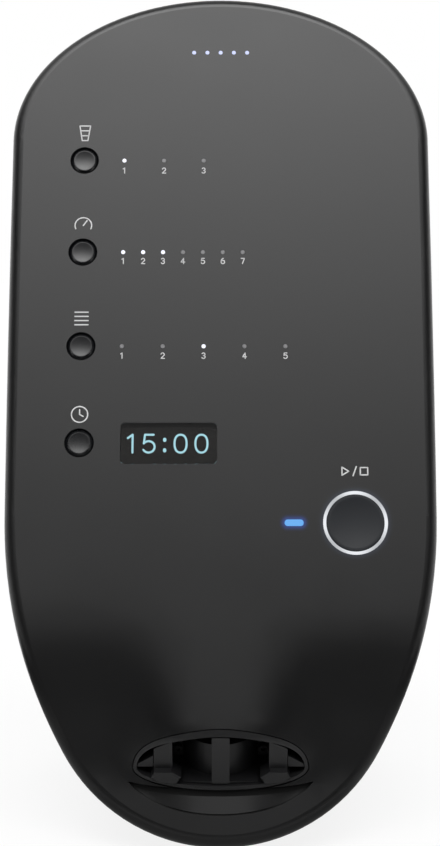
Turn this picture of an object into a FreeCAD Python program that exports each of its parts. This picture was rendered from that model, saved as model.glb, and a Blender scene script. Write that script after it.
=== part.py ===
import FreeCAD, Part
import math
import os

V = FreeCAD.Vector

# Compression therapy pump, millimetres.
# Two frames are used.  The face frame has x to the right, v up the control
# face from its lowest point and n straight out of the face.  The standing
# frame has X right, Y back, Z up, with the table at Z = 0.  stand() takes a
# shape from the first to the second.

# ---- housing ---------------------------------------------------------------
LEAN = 20.0              # the face leans back this many degrees
TIP_Y, TIP_Z = -59.34, 5.62
FACE_LEN = 237.5
HALF_W = 58.6
TOP_ARCH = 43.5          # height of the elliptical top of the outline
CHIN_R = 47.6            # radius of the lowest part of the outline
FLANK_R = 130.0          # radius from the chin into the sides
SIDE_R = 8480.0          # the sides are very slightly bowed
RIM_R = 3.2
WALL = 2.5
FLOOR_Z = 2.0            # lower edge of the shells
TOP_DEPTH = 29.8         # from the top of the face back to the back
BACK_Y = round(TIP_Y + FACE_LEN * math.sin(math.radians(LEAN)) + TOP_DEPTH, 1)
TOP_Z = round(TIP_Z + FACE_LEN * math.cos(math.radians(LEAN)), 1)
BACK_RISE = 23.43        # the back bows out this far between the sides
BACK_R = (HALF_W ** 2 + BACK_RISE ** 2) / (2 * BACK_RISE)
OUTSIDE = BACK_Y + 10.0  # cuts from behind start here
BACK_EDGE_R = 7.0
SPLIT_N = -16.0          # parting plane between the two shells
SEAM = 0.8
REAR_DRAFT = 2.0         # the rear shell narrows by this much, in degrees

# ---- the step down to the chin ---------------------------------------------
STEP = 8.0
FLANK_STEP = (68.4, 14.4, 1.35)
NOSE_STEP = (31.0, 12.9, 1.0)

# ---- front panel -----------------------------------------------------------
KEY_X = 20.5 - HALF_W    # the small buttons keep this far from the left edge
ROW_TOP = FACE_LEN - 50.4
ROW_PITCH = 27.1
KEY_V = {"attachment": ROW_TOP, "pressure": ROW_TOP - ROW_PITCH,
         "zone": ROW_TOP - 2 * ROW_PITCH, "time": ROW_TOP - 3 * ROW_PITCH}
KEY_HOLE_R = 4.0
KEY_TOP_R = 2.95
KEY_DISH = (2.75, 0.2)   # radius and depth of the finger dish
KEY_FLANGE_R = 5.0
KEY_TRAVEL = 0.5
FIT = 0.08               # radial running clearance of sliding parts
DOT_R = 0.55
DOT_X = KEY_X + 11.15    # first dot of each row
DOTS = {
    "battery": [(3.77 * (i - 2), FACE_LEN - 17.5) for i in range(5)],
    "attachment": [(DOT_X + 11.1 * i, KEY_V["attachment"]) for i in range(3)],
    "pressure": [(DOT_X + 5.51 * i, KEY_V["pressure"]) for i in range(7)],
    "zone": [(DOT_X + 11.15 * i, KEY_V["zone"]) for i in range(5)],
}
WINDOW = (KEY_X + 24.1, KEY_V["time"] - 0.1, 26.0, 11.3, 1.3)   # x, v, wide, high, corner
START_X, START_V = HALF_W - 22.7, KEY_V["time"] - 21.8
RING_OUT, RING_IN = 8.6, 7.83
START_DISH = (6.9, 0.45)
START_TRAVEL = 0.8
STATUS = (START_X - 16.35, START_V, 5.0, 1.7)                   # x, v, wide, high

# ---- circuit board ---------------------------------------------------------
BOARD_N = -9.5
BOARD_T = 1.6
BOARD_BACK = BOARD_N - BOARD_T
BOARD_X = HALF_W - 17.1
BOARD_V = (START_V - 11.6, ROW_TOP + 13.3, FACE_LEN - 11.1)
BOARD_TAB_X = BOARD_X - 15.5
BOARD_POSTS = [(-30, START_V - 5.6), (30, START_V + 16.4), (-30, ROW_TOP + 9.3), (30, ROW_TOP + 9.3)]
SWITCH_TOP = -7.0        # depth of the small switches' tips when not pressed
START_SWITCH_TOP = -7.5
SHELL_POSTS = [(side * (HALF_W - inset), v) for v, inset in
               ((FACE_LEN - 26.1, 20.6), (FACE_LEN / 2, 12.1), (46.4, 16.6)) for side in (-1, 1)]
POST_R = 3.4
SCREW_R = 1.2
SCREW_HEAD_R = 2.4
SLIP = 0.06              # clearance of a fixed pin in its hole

# ---- hose port -------------------------------------------------------------
PORT_TILT = 35.0         # the port looks this much below the face normal
PORT_V, PORT_N = 19.2, -5.55
PORT_A, PORT_UP, PORT_DOWN = 21.95, 9.9, 4.3   # half width, height above and below the middle
BEZEL = (0.9, 1.7, 0.9)  # how wide the bezel is at the ends, on top and below
BEZEL_GAP = (0.1, 0.3, 1.2)      # clearance round the bezel, at the surface, and how deep
PORT_DEPTH = 30.0
POST_X = (12.6, 17.4)    # sides of the upright posts in the mouth
DRUM_R, DRUM_T = 10.0, -4.0
CRESCENT = (21.1, 25.5, 13.1)    # v of the centre, half width, half height
LIP = (17.5, 24.6, 3.2)          # the same for the edge over the crescent
LIP_GAP = (2.6, 4.5, 5.0)        # heights that bound the slot under the lip, and its depth
GROOVE = 0.5

# ---- pump and valves -------------------------------------------------------
PUMP_Y, PUMP_Z = 14.0, 32.0
MOTOR_R, MOTOR_X = 13.5, (-35.0, 0.0)
CASE_X = (0.0, 26.0)
CASE_HALF = 15.0
CASE_Z = (17.0, 47.0)
CHAMBER_R = 10.5
HEAD_Z = (48.5, 60.0)
CRADLE_Z = (9.0, 11.5)
OUTLET = (19.0, 22.0)
MOUNTS = [(-23, -2), (-23, 23), (19, -2), (19, 23)]
SHAFT_R = 2.0
ECC = 1.2
PIN_R = 3.0
VALVE_X = [-24.0, -12.0, 0.0, 12.0, 24.0]
VALVE_Y = -1.0
MANIFOLD_Z = (70.0, 80.0)
COIL_Z = (80.0, 100.0)
PLUNGER_R = 2.5
PLUNGER_TRAVEL = 0.8
TUBE_R, TUBE_BORE = 2.4, 1.4
SHELF_Z = 68.5
BARB_X = [-16.0, -8.0, 0.0, 8.0, 16.0]
BARB_Y = -21.0
BARB_Z = (29.0, 46.0)

# ---- battery ---------------------------------------------------------------
CELL_R, CELL_L = 9.2, 65.0
CELL_PITCH = 2 * CELL_R + 0.4
CELL_Y = BACK_Y - 21.7
CELL_Z0 = TOP_Z - 114.8   # height of the lowest of four cells

# ---- rear panel ------------------------------------------------------------
PANEL_Y = BACK_Y - 5.7
PANEL = (-28.0, 28.0, 14.0, 42.0)
SWITCH_X, SWITCH_Z = -14.0, 28.0
SWITCH_HALF = (9.7, 6.5)         # half width and half height of the switch body
SWITCH_FLANGE = 0.9              # its flange reaches this far past the body
SWITCH_WALL = 0.75
ROCKER_HALF = 5.55
ROCKER_END_R = 8.85
ROCKER_TILT = 8.0
INLET_X, INLET_Z = 14.0, 28.0
INLET_R = 4.0
GRIP = (-27.0, 27.0, TOP_Z - 42.8, TOP_Z - 25.8)
GRIP_Y = BACK_Y - 13.2
VENT_Z = [62.0 + 5.0 * i for i in range(6)]
VENT_HALF, VENT_HIGH = 15.0, 2.2

# ---- base ------------------------------------------------------------------
BASE_TOP = FLOOR_Z + 2.6
BASE_POSTS = [(0, -37, 11), (-31.5, 26, 14), (31.5, 26, 14)]   # x, y, top
FEET = [(-10, -28), (10, -28), (-27, 33), (27, 33)]
FOOT_R = 5.5


# ---- helpers ---------------------------------------------------------------
def stand(shape):
    """Face frame to standing frame."""
    out = shape.copy()
    out.rotate(V(0, 0, 0), V(1, 0, 0), 90.0 - LEAN)
    out.translate(V(0, TIP_Y, TIP_Z))
    return out


def port_frame(shape):
    """Port frame (x, up, out of the mouth) to the face frame."""
    out = shape.copy()
    out.rotate(V(0, 0, 0), V(1, 0, 0), PORT_TILT)
    out.translate(V(0, PORT_V, PORT_N))
    return out


def box(x0, x1, y0, y1, z0, z1):
    return Part.makeBox(x1 - x0, y1 - y0, z1 - z0, V(x0, y0, z0))


def rod(x, v, n0, n1, r):
    """Cylinder square to the face, from depth n0 to n1."""
    return Part.makeCylinder(r, n1 - n0, V(x, v, n0))


def upright(x, y, z0, z1, r):
    return Part.makeCylinder(r, z1 - z0, V(x, y, z0))


def along_x(x0, x1, y, z, r):
    return Part.makeCylinder(r, x1 - x0, V(x0, y, z), V(1, 0, 0))


def along_y(y0, y1, x, z, r):
    return Part.makeCylinder(r, y1 - y0, V(x, y0, z), V(0, 1, 0))


def fused(shapes):
    out = shapes[0]
    for shape in shapes[1:]:
        out = out.fuse(shape)
    return out


def less(shape, tools):
    for tool in tools:
        shape = shape.cut(tool)
    return shape


def rounded(x, v, w, h, r, n0, n1):
    """Rounded rectangle plate, square to the face."""
    plate = box(x - w / 2, x + w / 2, v - h / 2, v + h / 2, n0, n1)
    corners = [e for e in plate.Edges
               if abs(e.Vertexes[0].Point.z - e.Vertexes[-1].Point.z) > 1e-6]
    return plate.makeFillet(r, corners)


def revolved(profile, x, v):
    """Turn a closed (radius, n) outline about the axis at x, v."""
    pts = [V(r, 0, n) for r, n in profile]
    face = Part.Face(Part.makePolygon(pts + [pts[0]]))
    solid = face.revolve(V(0, 0, 0), V(0, 0, 1), 360)
    solid.translate(V(x, v, 0))
    return solid


def tube(points, outer, bore, bend):
    """Hose of straight runs through points, joined by tangent arcs."""
    edges = []
    last = points[0]
    for before, here, after in zip(points, points[1:], points[2:]):
        a = (before - here).normalize()
        b = (after - here).normalize()
        half = a.getAngle(b) / 2
        reach = bend / math.tan(half)
        p, q = here + a * reach, here + b * reach
        middle = (a + b).normalize()
        centre = here + middle * (bend / math.sin(half))
        edges.append(Part.LineSegment(last, p).toShape())
        edges.append(Part.Arc(p, centre - middle * bend, q).toShape())
        last = q
    edges.append(Part.LineSegment(last, points[-1]).toShape())
    path = Part.Wire(edges)
    ends = []
    for radius in (outer, bore):
        ring = Part.Wire(Part.makeCircle(radius, points[0], points[1] - points[0]))
        ends.append(path.makePipeShell([ring], True, False))
    return ends[0].cut(ends[1])


def save(name, shape):
    shape = shape.removeSplitter() if len(shape.Solids) == 1 else shape
    for solid in shape.Solids:
        if not solid.isValid() or solid.Volume < 0.05:
            raise ValueError("bad solid in " + name)
    shape.exportStep("parts/" + name + ".step")
    print(name, len(shape.Solids), round(sum(s.Volume for s in shape.Solids), 1))


# ---- outline and face surface ----------------------------------------------
def egg(grow, n):
    """Face outline: three tangent arcs up each side and an elliptical top."""
    def arc(cx, cv, r, a0, a1):
        pts = [V(cx + r * math.cos(a), cv + r * math.sin(a), n)
               for a in (a0, (a0 + a1) / 2, a1)]
        return Part.Arc(pts[0], pts[1], pts[2]).toShape()

    half = HALF_W + grow
    top_v = FACE_LEN - TOP_ARCH
    side_x = HALF_W - SIDE_R
    # The flank's centre lies where circles about the other two centres cross.
    dx, dv = -side_x, CHIN_R - top_v
    apart = math.hypot(dx, dv)
    from_side, from_chin = SIDE_R - FLANK_R, FLANK_R - CHIN_R
    along = (from_side ** 2 - from_chin ** 2 + apart ** 2) / (2 * apart)
    off = math.sqrt(from_side ** 2 - along ** 2)
    cx = side_x + (along * dx - off * dv) / apart
    cv = top_v + (along * dv + off * dx) / apart
    low = math.atan2(CHIN_R - cv, -cx)
    high = math.atan2(cv - top_v, cx - side_x)
    top = Part.ArcOfEllipse(Part.Ellipse(V(0, top_v, n), half, TOP_ARCH + grow), 0, math.pi)
    edges = [
        arc(0, CHIN_R, CHIN_R + grow, -math.pi - low, low),
        arc(cx, cv, FLANK_R + grow, low, high),
        arc(side_x, top_v, SIDE_R + grow, high, 0),
        top.toShape(),
        arc(-side_x, top_v, SIDE_R + grow, math.pi, math.pi - high),
        arc(-cx, cv, FLANK_R + grow, math.pi - high, math.pi - low),
    ]
    return Part.Wire(edges)


def ease(t):
    """Smooth ramp from 0 to 1, flat at both ends."""
    t = max(0.0, min(1.0, t))
    return t * t * t * (t * (6 * t - 15) + 10)


def step_depth(x, v):
    """How far the face lies below its main plane: early on the flanks, late on the nose."""
    def ramp(high, low, skew):
        return STEP * ease(max(0.0, min(1.0, (high - v) / (high - low))) ** skew)

    side = ease((abs(x) - 4.0) / 30.0)
    return ramp(*NOSE_STEP) * (1 - side) + ramp(*FLANK_STEP) * side


def sky(drop):
    """Everything in front of the face surface, sunk by drop."""
    xs = [6.0 * i for i in range(-12, 13)]
    vs = [3.0 * i - 12.0 for i in range(29)] + [80.0 + 17.5 * i for i in range(10)]
    grid = [[V(x, v, -step_depth(x, v) - drop) for v in vs] for x in xs]
    surface = Part.BSplineSurface()
    surface.interpolate(grid)
    return surface.toShape().extrude(V(0, 0, 40))


def slab(grow, n0, n1, draft=0.0):
    """Egg-shaped block; with a draft it narrows towards n0."""
    if not draft:
        return Part.Face(egg(grow, n0)).extrude(V(0, 0, n1 - n0))
    shrink = (n1 - n0) * math.tan(math.radians(draft))
    return Part.makeLoft([egg(grow, n1), egg(grow - shrink, n0)], True, True)


def behind(inset):
    """The space in front of the curved back and above the floor edge."""
    drum = upright(0, BACK_Y - BACK_R, FLOOR_Z, 320, BACK_R - inset)
    return drum.common(box(-100, 100, -120, 100, FLOOR_Z, 320))


# ---- housing shells --------------------------------------------------------
def outer_front():
    """Front half of the outside: stepped face with a rounded rim."""
    block = slab(0, SPLIT_N, 10).cut(sky(0))
    face = max((f for f in block.Faces if "BSpline" in f.Surface.TypeId), key=lambda f: f.Area)
    return block.makeFillet(RIM_R, face.OuterWire.Edges)


def outer_rear():
    """Rear half of the outside, standing frame, with its back edge rounded."""
    block = stand(slab(0, -140, SPLIT_N - SEAM, REAR_DRAFT)).common(behind(0))
    centre = V(0, BACK_Y - BACK_R, 0)
    edges = []
    for e in block.Edges:
        p = e.valueAt((e.FirstParameter + e.LastParameter) / 2)
        on_drum = abs(math.hypot(p.x - centre.x, p.y - centre.y) - BACK_R) < 1e-3
        if on_drum and p.z > FLOOR_Z + 1:
            edges.append(e)
    return block.makeFillet(BACK_EDGE_R, edges)


def port_ellipse(grow, t0, t1, bezel=False):
    """Mouth-shaped prism in the port frame: a tall upper and a flat lower half-ellipse."""
    ends, above, below = BEZEL if bezel else (0, 0, 0)
    arcs = []
    for half, start in ((PORT_UP + above + grow, 0.0), (PORT_DOWN + below + grow, math.pi)):
        ellipse = Part.Ellipse(V(0, 0, t0), PORT_A + ends + grow, half)
        arcs.append(Part.ArcOfEllipse(ellipse, start, start + math.pi).toShape())
    return Part.Face(Part.Wire(arcs)).extrude(V(0, 0, t1 - t0))


def lower_ellipse(v, a, b):
    """Prism square to the face on the lower half of an ellipse, reaching up to v."""
    ellipse = Part.Ellipse(V(0, v, -30), a, b)
    arc = Part.ArcOfEllipse(ellipse, math.pi, 2 * math.pi).toShape()
    chord = Part.LineSegment(V(a, v, -30), V(-a, v, -30)).toShape()
    return Part.Face(Part.Wire([arc, chord])).extrude(V(0, 0, 40))


def crescent_floor(drop):
    """Space in front of the crescent's floor: level in the middle, falling to the sides."""
    xs = [3.0 * i for i in range(-10, 11)]
    vs = [2.0 + 4.0 * i for i in range(6)]
    grid = [[V(x, v, -STEP - 0.4 - 3.0 * ease((abs(x) - 3.0) / 21.0) - 0.05 * (v - 8.0) - drop)
             for v in vs] for x in xs]
    surface = Part.BSplineSurface()
    surface.interpolate(grid)
    return surface.toShape().extrude(V(0, 0, 12))


def crescent():
    """Hollow under the port mouth, the slot under its upper lip and its edge groove."""
    v, a, b = CRESCENT
    lip_v, lip_a, lip_b = LIP
    high, low, depth = LIP_GAP
    below = box(-40, 40, 0, lip_v, -30, 10)
    whole = lower_ellipse(v, a, b).common(below)
    hollow = whole.cut(lower_ellipse(lip_v, lip_a, lip_b))
    groove = hollow.cut(lower_ellipse(v, a - GROOVE, b - GROOVE))
    slot = lower_ellipse(lip_v, lip_a, low).cut(lower_ellipse(lip_v, lip_a, high))
    slot = slot.common(box(-40, 40, 0, lip_v - 0.8, -STEP - depth, 10))
    return [hollow.common(crescent_floor(0)), groove.common(crescent_floor(0.9)), slot]


def front_shell():
    shell = outer_front()
    inner = slab(-WALL, SPLIT_N - 1, 10).cut(sky(WALL))
    above_floor = box(-90, 90, -90, 90, FLOOR_Z, 300)
    shell = stand(shell.cut(inner)).common(above_floor)
    collar = port_frame(port_ellipse(2.4, -15, 12, True)).cut(sky(1.0))
    chin = port_frame(box(-27, 27, -15.5, -4.8, -9, 3)).cut(sky(1.0))
    chin = chin.common(slab(-1, SPLIT_N + 1.5, 10))
    extra = stand(fused([collar, chin])).common(box(-90, 90, -90, 90, BASE_TOP + 0.3, 300))
    posts = [rod(x, v, BOARD_N, 0.5, POST_R - 0.4) for x, v in BOARD_POSTS]
    posts += [rod(x, v, SPLIT_N - SEAM, 0.5, POST_R) for x, v in SHELL_POSTS]
    posts = [stand(p.cut(sky(1.0)).common(slab(-1.0, -40, 10))) for p in posts]
    shell = fused([shell, extra] + posts)
    gap, front_gap, deep = BEZEL_GAP
    cuts = [port_frame(port_ellipse(gap, -40, 20, True))] + crescent()
    cuts.append(port_frame(port_ellipse(front_gap, -40, 20, True)).common(sky(deep)))
    cuts += [rod(x, v, BOARD_N - 1, -3.2, SCREW_R + SLIP) for x, v in BOARD_POSTS]
    cuts += [rod(x, v, SPLIT_N - 1, -step_depth(x, v) - 3.4, SCREW_R + SLIP)
             for x, v in SHELL_POSTS]
    cuts += [rod(KEY_X, v, -5, 1, KEY_HOLE_R) for v in KEY_V.values()]
    cuts += [rod(x, v, -5, 1, DOT_R + SLIP) for row in DOTS.values() for x, v in row]
    cuts.append(rod(START_X, START_V, -5, 1, RING_OUT + SLIP))
    x, v, w, h, r = WINDOW
    cuts.append(rounded(x, v, w + 0.12, h + 0.12, r, -5, 1))
    x, v, w, h = STATUS
    cuts.append(rounded(x, v, w + 0.12, h + 0.12, h / 2, -5, 1))
    return less(shell, [stand(c) for c in cuts])


def rear_shell():
    outside = outer_rear()
    inner = stand(slab(-WALL, -140, SPLIT_N + 2, REAR_DRAFT))
    shell = outside.cut(inner.common(behind(WALL)))
    x0, x1, z0, z1 = PANEL
    gx0, gx1, gz0, gz1 = GRIP
    blocks = [box(x0 - WALL, x1 + WALL, PANEL_Y - WALL, OUTSIDE, z0 - WALL, z1 + WALL)]
    blocks.append(box(gx0 - WALL, gx1 + WALL, GRIP_Y - WALL, OUTSIDE, gz0 - WALL, gz1 + WALL))
    blocks += [stand(rod(x, v, -130, SPLIT_N - SEAM, POST_R)) for x, v in SHELL_POSTS]
    blocks += [upright(x, y, BASE_TOP, top, POST_R) for x, y, top in BASE_POSTS]
    for x, y, top in BASE_POSTS:
        reach = [-24, 24] if x == 0 else sorted([x, 50 * x / abs(x)])
        blocks.append(box(reach[0], reach[1], y - 0.9, y + 0.9, BASE_TOP + 0.2, top - 0.5))
    core = stand(slab(-WALL * 0.4, -140, SPLIT_N - SEAM, REAR_DRAFT)).common(behind(WALL * 0.4))
    shell = fused([shell] + [b.common(core) for b in blocks])
    hollow = box(gx0, gx1, GRIP_Y, OUTSIDE, gz0, gz1)
    edges = [e for e in hollow.Edges
             if abs(e.Vertexes[0].Point.y - e.Vertexes[-1].Point.y) > 1e-6]
    cuts = [box(x0, x1, PANEL_Y, OUTSIDE, z0, z1), hollow.makeFillet(6.0, edges)]
    for x, v in SHELL_POSTS:
        cuts.append(stand(rod(x, v, -140, SPLIT_N - 5.0, SCREW_HEAD_R + 0.2)))
        cuts.append(stand(rod(x, v, -30, SPLIT_N + 1, SCREW_R + SLIP)))
    cuts += [upright(x, y, FLOOR_Z, top - 1, SCREW_R + SLIP) for x, y, top in BASE_POSTS]
    cuts += [box(-VENT_HALF, VENT_HALF, BACK_Y - 12, OUTSIDE, z, z + VENT_HIGH) for z in VENT_Z]
    half_x, half_z = (half + SLIP for half in SWITCH_HALF)
    cuts.append(box(SWITCH_X - half_x, SWITCH_X + half_x, PANEL_Y - WALL - 1, PANEL_Y + 1,
                    SWITCH_Z - half_z, SWITCH_Z + half_z))
    cuts.append(along_y(PANEL_Y - WALL - 1, PANEL_Y + 1, INLET_X, INLET_Z, INLET_R + SLIP))
    return less(shell, cuts)


def base_plate():
    """Floor plate that drops into the open bottom of both shells."""
    inside = stand(slab(-WALL - 0.15, -140, 8, REAR_DRAFT)).common(behind(WALL + 0.15))
    plate = inside.common(box(-90, 90, -90, 90, FLOOR_Z, BASE_TOP))
    plate = plate.cut(stand(sky(WALL + 0.15)))
    cuts = [upright(x, y, FLOOR_Z - 1, BASE_TOP + 1, SCREW_R + SLIP) for x, y, _ in BASE_POSTS]
    cuts += [upright(x, y, FLOOR_Z - 1, FLOOR_Z + 1.2, SCREW_HEAD_R + 0.1)
             for x, y, _ in BASE_POSTS]
    cuts += [upright(x, y, FLOOR_Z - 1, FLOOR_Z + 0.6, FOOT_R) for x, y in FEET]
    return less(plate, cuts)


def rubber_feet():
    return Part.makeCompound([upright(x, y, 0, FLOOR_Z + 0.6, FOOT_R - SLIP) for x, y in FEET])


def seam_gasket():
    """Thin ring set back between the shells; it makes the shadow line."""
    ring = slab(-1.0, SPLIT_N - SEAM, SPLIT_N).cut(slab(-WALL + 0.2, SPLIT_N - 2, SPLIT_N + 1))
    return stand(ring).common(box(-90, 90, -90, 90, FLOOR_Z + 0.1, 300))


# ---- front panel pieces ----------------------------------------------------
def dish(x, v, top, radius, depth):
    """Ball that hollows a button top by depth over the given radius; its poles lie sideways."""
    ball_r = (radius ** 2 + depth ** 2) / (2 * depth)
    return Part.makeSphere(ball_r, V(x, v, top - depth + ball_r), V(1, 0, 0))


def key(v):
    """Small round button: sloped edge, finger dish, retaining flange and stem."""
    side = KEY_HOLE_R - FIT
    under = -WALL - 0.25
    tip = SWITCH_TOP + KEY_TRAVEL + 0.1
    profile = [(0, tip), (1.5, tip), (1.5, under - 0.9), (KEY_FLANGE_R, under - 0.9),
               (KEY_FLANGE_R, under), (side, under), (side, -0.75), (KEY_TOP_R, -0.05),
               (0, -0.05)]
    return stand(revolved(profile, KEY_X, v).cut(dish(KEY_X, v, -0.05, *KEY_DISH)))


def start_button():
    side = RING_IN - FIT
    tip = START_SWITCH_TOP + START_TRAVEL + 0.1
    profile = [(0, tip), (1.8, tip), (1.8, -5.0), (6.0, -5.0), (6.0, -7.3), (8.15, -7.3),
               (8.15, -6.5), (side, -6.5), (side, -0.35), (side - 0.35, 0), (0, 0)]
    return stand(revolved(profile, START_X, START_V).cut(dish(START_X, START_V, 0, *START_DISH)))


def start_light_ring():
    flange = -WALL - 0.03
    profile = [(RING_IN, 0.1), (RING_OUT - 0.15, 0.1), (RING_OUT, -0.05), (RING_OUT, flange),
               (10.3, flange), (10.3, flange - 1.2), (RING_OUT + 0.4, flange - 1.2),
               (RING_OUT + 0.4, -8.9), (8.3, -8.9), (8.3, -6.3), (RING_IN, -6.3)]
    return stand(revolved(profile, START_X, START_V))


def light_pipe(row):
    """Row of light pins moulded on one strip behind the panel."""
    top = -WALL - 0.05
    xs = [x for x, v in row]
    v = row[0][1]
    solids = [box(min(xs) - 1.6, max(xs) + 1.6, v - 1.3, v + 1.3, top - 1.2, top)]
    solids += [rod(x, v, top - 0.1, 0.02, DOT_R) for x in xs]
    solids += [rod(x, v, -8.6, top - 1.1, DOT_R + 0.2) for x in xs]
    return stand(fused(solids))


def status_light_bar():
    x, v, w, h = STATUS
    top = -WALL - 0.05
    bar = rounded(x, v, w, h, h / 2 - 0.01, -8.6, 0.02)
    return stand(fused([bar, rounded(x, v, w + 2, h + 1.6, 1.4, top - 1.2, top)]))


def display_window():
    x, v, w, h, r = WINDOW
    top = -WALL - 0.05
    lens = rounded(x, v, w, h, r, top - 0.1, -0.03)
    return stand(fused([lens, rounded(x, v, w + 3, h + 3, r + 1, top - 0.9, top)]))


def display_module():
    x, v, w, h, _ = WINDOW
    body = box(x - w / 2 - 1.5, x + w / 2 + 1.5, v - h / 2 - 1.5, v + h / 2 + 1.5, BOARD_N, -4.0)
    return stand(body)


# ---- circuit board ---------------------------------------------------------
def control_board():
    low, mid, high = BOARD_V
    board = fused([box(-BOARD_X, BOARD_X, low, mid, BOARD_BACK, BOARD_N),
                   box(-BOARD_TAB_X, BOARD_TAB_X, mid - 1, high, BOARD_BACK, BOARD_N)])
    holes = [rod(x, v, BOARD_BACK - 1, BOARD_N + 1, SCREW_R + SLIP) for x, v in BOARD_POSTS]
    return stand(less(board, holes))


def button_switches():
    solids = []
    for v in KEY_V.values():
        solids.append(fused([box(KEY_X - 2.3, KEY_X + 2.3, v - 2.3, v + 2.3, BOARD_N, -7.8),
                             rod(KEY_X, v, -8.0, SWITCH_TOP, 1.3)]))
    x, v = START_X, START_V
    solids.append(fused([box(x - 3, x + 3, v - 3, v + 3, BOARD_N, -8.5),
                         rod(x, v, -8.7, START_SWITCH_TOP, 1.6)]))
    return stand(Part.makeCompound(solids))


def indicator_leds():
    spots = [(x, v) for row in DOTS.values() for x, v in row]
    spots += [(STATUS[0] - 1.2, STATUS[1]), (STATUS[0] + 1.2, STATUS[1])]
    solids = [box(x - 0.8, x + 0.8, v - 0.6, v + 0.6, BOARD_N, -8.75) for x, v in spots]
    for i in range(4):
        a = math.pi / 2 * i
        x, v = START_X + 8.6 * math.cos(a), START_V + 8.6 * math.sin(a)
        solids.append(box(x - 0.8, x + 0.8, v - 0.8, v + 0.8, BOARD_N, -9.0))
    return stand(Part.makeCompound(solids))


def board_chips():
    """Chips and plugs on the board's back: x, height over the start button, wide, high, thick."""
    chips = [(4, 66, 12, 12, 1.4), (-18, 44, 9, 9, 1.2), (20, 88, 10, 8, 1.3),
             (-20, 86, 6, 5, 1.2), (24, 44, 7, 7, 1.2), (-8, 102, 8, 5, 1.1)]
    plugs = [(-30, 8, 12, 5, 4.0), (8, 0, 16, 5, 4.0), (-2, 124, 10, 5, 4.0)]
    return stand(Part.makeCompound([
        box(x - w / 2, x + w / 2, START_V + up - h / 2, START_V + up + h / 2,
            BOARD_BACK - t, BOARD_BACK) for x, up, w, h, t in chips + plugs]))


def buzzer():
    x, v = 18, ROW_TOP + 19.3
    case = rod(x, v, BOARD_BACK - 3.8, BOARD_BACK, 4.6)
    return stand(case.cut(rod(x, v, BOARD_BACK - 4, BOARD_BACK - 3, 0.9)))


def board_screws():
    return stand(Part.makeCompound([
        fused([rod(x, v, BOARD_BACK - 1.5, BOARD_BACK, SCREW_HEAD_R - 0.2),
               rod(x, v, BOARD_BACK, -5.5, SCREW_R)])
        for x, v in BOARD_POSTS]))


def cross(x, y, z0, z1):
    """Cross recess of a screw head."""
    return box(x - 1.5, x + 1.5, y - 0.3, y + 0.3, z0, z1).fuse(
        box(x - 0.3, x + 0.3, y - 1.5, y + 1.5, z0, z1))


def shell_screws():
    seat = SPLIT_N - 5.0
    return stand(Part.makeCompound([
        fused([rod(x, v, seat - 2, seat, SCREW_HEAD_R), rod(x, v, seat, -8.5, SCREW_R)]).cut(
            cross(x, v, seat - 3, seat - 1.1)) for x, v in SHELL_POSTS]))


def base_screws():
    seat = FLOOR_Z + 1.2
    return Part.makeCompound([
        fused([upright(x, y, FLOOR_Z, seat, SCREW_HEAD_R), upright(x, y, seat, top - 1.5, SCREW_R)])
        .cut(cross(x, y, FLOOR_Z - 1, FLOOR_Z + 0.7)) for x, y, top in BASE_POSTS])


# ---- hose port -------------------------------------------------------------
def port_bezel():
    ring = port_ellipse(0, -14.5, 12, True).cut(port_ellipse(0, -16, 14))
    return stand(port_frame(ring).cut(sky(0.15)))


def mouth(shape, gap):
    """Trim a port piece to the mouth outline, in the port frame."""
    return shape.common(port_ellipse(-gap, -60, 30))


def port_prism(points, t0, t1):
    """Straight-sided prism along the port axis."""
    wire = Part.makePolygon([V(x, up, t0) for x, up in points + [points[0]]])
    return Part.Face(wire).extrude(V(0, 0, t1 - t0))


def port_block():
    """Socket body: solid back, middle rib on a drum, low sill and end cheeks."""
    back = port_ellipse(-0.25, -PORT_DEPTH, -14)
    flange = port_ellipse(3.4, -18, -15.9)
    rib = mouth(box(-2.3, 2.3, -20, 20, -15, -0.6), 0.25)
    drum = Part.makeCylinder(DRUM_R, 40, V(0, -20, DRUM_T - DRUM_R), V(0, 1, 0))
    drum = mouth(drum.common(box(-20, 20, -20, 5.6, -15, 0)), 0.25)
    sill = mouth(box(-POST_X[0] + 2.7, POST_X[0] - 2.7, -20, -PORT_DOWN + 0.8, -15, -1.0), 0.25)
    cheek = [(POST_X[1] + 0.2, 0.1), (22.5, 0.1), (22.5, 0.4), (POST_X[1] + 0.2, 3.3)]
    cheeks = [mouth(port_prism([(side * x, up) for x, up in cheek], -15, -2.4), 0.25)
              for side in (-1, 1)]
    body = fused([back, flange, rib, drum, sill] + cheeks)
    body = stand(port_frame(body))
    z0, z1 = BARB_Z
    barbs = [upright(x, BARB_Y, z0, z1, TUBE_BORE - 0.03) for x in BARB_X]
    bores = [upright(x, BARB_Y, z0 + 4, z1 + 1, 0.8) for x in BARB_X]
    return less(fused([body] + barbs), bores)


def port_nozzles():
    """Four air nozzles in the slots between the drum and the posts."""
    middle = (DRUM_R + POST_X[0]) / 2
    solids = []
    for x, up in ((-middle, -0.5), (-middle, 3.5), (middle, -0.5), (middle, 3.5)):
        nozzle = Part.makeCylinder(1.1, 2.2, V(x, up, -14))
        solids.append(nozzle.cut(Part.makeCylinder(0.6, 3.0, V(x, up, -13))))
    return stand(port_frame(Part.makeCompound(solids)))


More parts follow.
